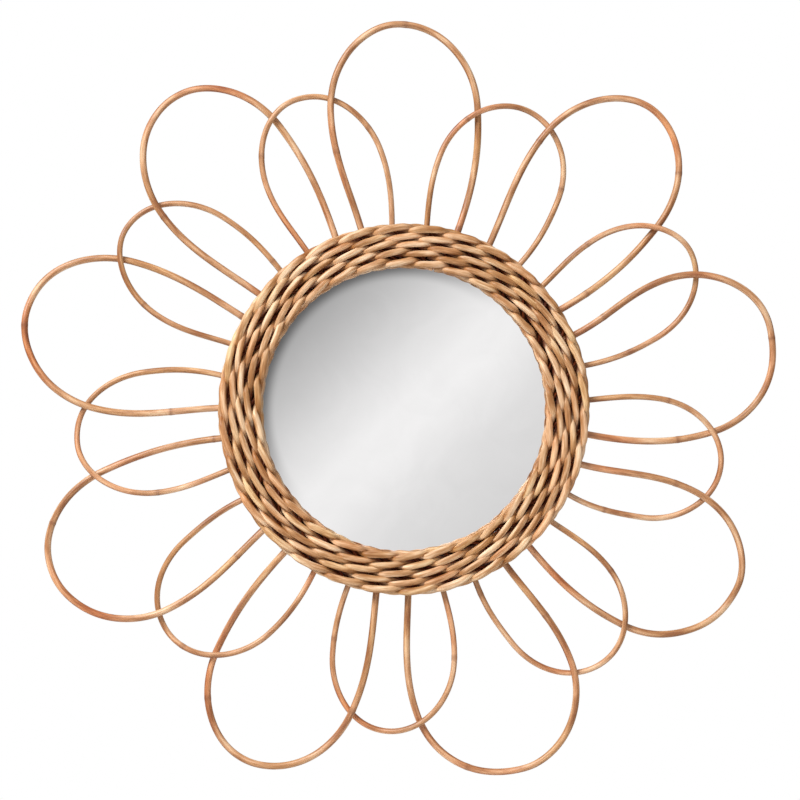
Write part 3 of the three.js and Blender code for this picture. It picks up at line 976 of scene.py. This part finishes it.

silvered_glass, tree, shader = new_material("float glass, silvered behind")
place = add_node(tree, "ShaderNodeTexCoord")
smears = add_node(tree, "ShaderNodeTexNoise", {
    "Vector": place.outputs["Object"], "Scale": 1 / SMEAR_SIZE, "Detail": 3.0,
    "Distortion": 1.5,
})
silver = add_node(tree, "ShaderNodeValToRGB", {"Fac": smears.outputs["Fac"]},
                  stops=((0.3, "#f8f7f7"), (0.7, "#fcfbfb")))
wiped = add_node(tree, "ShaderNodeMapRange", {
    "Value": smears.outputs["Fac"], "From Min": 0.35, "From Max": 0.75,
    "To Min": 0.008, "To Max": 0.03,
})
tree.links.new(wiped.outputs["Result"], shader.inputs["Roughness"])
from_centre = add_node(tree, "ShaderNodeVectorMath", {0: place.outputs["Object"]},
                       operation="LENGTH")
silvered = add_node(tree, "ShaderNodeMapRange", {
    "Value": from_centre.outputs["Value"],
    "From Min": SILVER_EDGE[1], "From Max": SILVER_EDGE[0],
})
tree.links.new(silvered.outputs["Result"], shader.inputs["Metallic"])
surface = add_node(tree, "ShaderNodeMix", {
    0: silvered.outputs["Result"], 6: srgb(GLASS_RIM_PAINTED_SHADE), 7: silver.outputs["Color"],
}, data_type="RGBA")
tree.links.new(surface.outputs[2], shader.inputs["Base Color"])
print("Silvered to", SILVER_EDGE[0], "m from the centre")

# %% Glass disc
DISC_SEGMENTS = 160
GLASS_ARRIS = mm(0.4)


def plain_disc(radius, back, front, arris):
    """A bmesh of a round plate about the Y axis between two depths, with its edges bevelled."""
    bm = bmesh.new()
    facing = Matrix.Translation((0, -back, 0)) @ Matrix.Rotation(math.radians(90), 4, "X")
    bmesh.ops.create_circle(bm, cap_ends=True, segments=DISC_SEGMENTS, radius=radius,
                            matrix=facing)
    raised = bmesh.ops.extrude_face_region(bm, geom=bm.faces[:])["geom"]
    lifted = [part for part in raised if isinstance(part, bmesh.types.BMVert)]
    bmesh.ops.translate(bm, verts=lifted, vec=FRONT * (front - back))
    rims = [edge for edge in bm.edges if any(len(face.verts) > 4 for face in edge.link_faces)]
    bmesh.ops.bevel(bm, geom=rims, offset=arris, affect="EDGES", segments=2, profile=0.5,
                    material=-1)
    bmesh.ops.recalc_face_normals(bm, faces=bm.faces)
    for face in bm.faces:
        face.smooth = len(face.verts) == 4
    return bm


bm = plain_disc(GLASS_RADIUS, GLASS_BACK, GLASS_FRONT, GLASS_ARRIS)
finish_piece("silvered_disc", bm, silvered_glass, "mirror_glass", "mirror_glass")
print("Glass:", round(2 * GLASS_RADIUS, 3), "m across")

# %% [markdown]
# ## Board
#
# The board isn't shown, apart from the dark ground in the gaps of the weave. It is fibreboard
# coloured dark brown as painted shade for those gaps: felted fibres give it a fine mottle
# without a grain, and its tone lies darker in some places than in others. A shallow pocket in
# its back takes the hanger, and it is cut from the disc with a Boolean modifier, which is
# applied at once.

# %% Fibreboard, dark brown as painted shade
FIBRE_SIZE = mm(1.6)
CLOUD_SIZE = mm(55)
FIBRE_RELIEF = mm(0.2)

board_painted_shade, tree, shader = new_material("fibreboard, dark brown as painted shade")
place = add_node(tree, "ShaderNodeTexCoord")
felt = add_node(tree, "ShaderNodeTexNoise", {
    "Vector": place.outputs["Object"], "Scale": 1 / FIBRE_SIZE, "Detail": 6.0,
    "Roughness": 0.7,
})
cloud = add_node(tree, "ShaderNodeTexNoise", {
    "Vector": place.outputs["Object"], "Scale": 1 / CLOUD_SIZE, "Detail": 2.0,
})
felt_share = add_node(tree, "ShaderNodeMath", {
    0: felt.outputs["Fac"], 1: 0.6, 2: 0.2,
}, operation="MULTIPLY_ADD")
felt_and_cloud = add_node(tree, "ShaderNodeMath", {
    0: cloud.outputs["Fac"], 1: 0.4, 2: felt_share.outputs["Value"],
}, operation="MULTIPLY_ADD")
# Dark brown tones: painted shade for the gaps of the weave
board_shade_tone = add_node(tree, "ShaderNodeValToRGB", {"Fac": felt_and_cloud.outputs["Value"]},
                 stops=((0.5, "#3a1605"), (0.85, "#663011"), (0.68, "#4c1f08")))
tree.links.new(board_shade_tone.outputs["Color"], shader.inputs["Base Color"])
rough = add_node(tree, "ShaderNodeMapRange", {
    "Value": felt.outputs["Fac"], "To Min": 0.85, "To Max": 0.65,
})
tree.links.new(rough.outputs["Result"], shader.inputs["Roughness"])
fibres = add_node(tree, "ShaderNodeBump", {
    "Height": felt.outputs["Fac"], "Strength": 0.35, "Distance": FIBRE_RELIEF,
})
tree.links.new(fibres.outputs["Normal"], shader.inputs["Normal"])
shader.inputs["IOR"].default_value = 1.5
shader.inputs["Specular IOR Level"].default_value = 0.2
print("Board finish:", board_painted_shade.name)

# %% Backing board with its pocket
BOARD_ARRIS = mm(0.6)
POCKET_CENTRE = mm(108.055)
POCKET_SIZE = mm(52, 15)
POCKET_DEPTH = mm(2.8)

bm = plain_disc(BOARD_RADIUS, 0, BOARD_THICKNESS, BOARD_ARRIS)
board = finish_piece("backing_disc", bm, board_painted_shade, "backing_board", "backing_board")

cutter_bm = bmesh.new()
bmesh.ops.create_cube(cutter_bm, size=1.0, matrix=(
    Matrix.Translation((0, 0, POCKET_CENTRE))
    @ Matrix.Diagonal((POCKET_SIZE[0], 2 * POCKET_DEPTH, POCKET_SIZE[1], 1))))
cutter_mesh = bpy.data.meshes.new("pocket cutter")
cutter_bm.to_mesh(cutter_mesh)
cutter_bm.free()
cutter = bpy.data.objects.new("pocket cutter", cutter_mesh)
scene.collection.objects.link(cutter)
cut = board.modifiers.new("pocket", "BOOLEAN")
cut.object = cutter
cut.operation = "DIFFERENCE"
cut.solver = "EXACT"
graph = bpy.context.evaluated_depsgraph_get()
pocketed = bpy.data.meshes.new_from_object(board.evaluated_get(graph))
board.modifiers.clear()
board.data = pocketed
bpy.data.objects.remove(cutter)
print("Board:", len(board.data.polygons), "faces")

# %% [markdown]
# ## Hanger
#
# The hanger is a bent strip of thin zinc-plated steel with teeth that catch on a nail. Its CAD
# node has the right shape, so only its finish is made here. Zinc plate is a bluish metal with a
# faint spangle of crystals and short rolling lines along the strip.

# %% Zinc-plated steel
SPANGLE_SIZE = mm(1.8)
ROLLING_WIDTH = mm(0.4)
ROLLING_STRETCH = 25  # how much longer than wide a rolling line is
ROLLING_RELIEF = mm(0.05)

zinc_steel, tree, shader = new_material("steel strip, zinc plated")
place = add_node(tree, "ShaderNodeTexCoord")
spangle = add_node(tree, "ShaderNodeTexVoronoi", {
    "Vector": place.outputs["Object"], "Scale": 1 / SPANGLE_SIZE,
})
crystal = add_node(tree, "ShaderNodeValToRGB", {"Fac": spangle.outputs["Color"]},
                   stops=((0.2, "#a3a8ab"), (0.8, "#c3c8ca")))
rolled_along = add_node(tree, "ShaderNodeMapping", {
    "Vector": place.outputs["Object"], "Scale": (1 / ROLLING_STRETCH, 1, 1),
})
rolling = add_node(tree, "ShaderNodeTexNoise", {
    "Vector": rolled_along.outputs["Vector"], "Scale": 1 / ROLLING_WIDTH, "Detail": 3.0,
})
worn = add_node(tree, "ShaderNodeMix", {
    0: rolling.outputs["Fac"], 6: crystal.outputs["Color"], 7: srgb("#8e9396"),
}, data_type="RGBA")
tree.links.new(worn.outputs[2], shader.inputs["Base Color"])
brushed = add_node(tree, "ShaderNodeMapRange", {
    "Value": rolling.outputs["Fac"], "To Min": 0.28, "To Max": 0.5,
})
tree.links.new(brushed.outputs["Result"], shader.inputs["Roughness"])
lines = add_node(tree, "ShaderNodeBump", {
    "Height": rolling.outputs["Fac"], "Strength": 0.3, "Distance": ROLLING_RELIEF,
})
tree.links.new(lines.outputs["Normal"], shader.inputs["Normal"])
shader.inputs["Metallic"].default_value = 1.0

hanger_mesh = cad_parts["hanger"].data
hanger_mesh.materials.clear()
hanger_mesh.materials.append(zinc_steel)
print("Hanger finish:", zinc_steel.name)
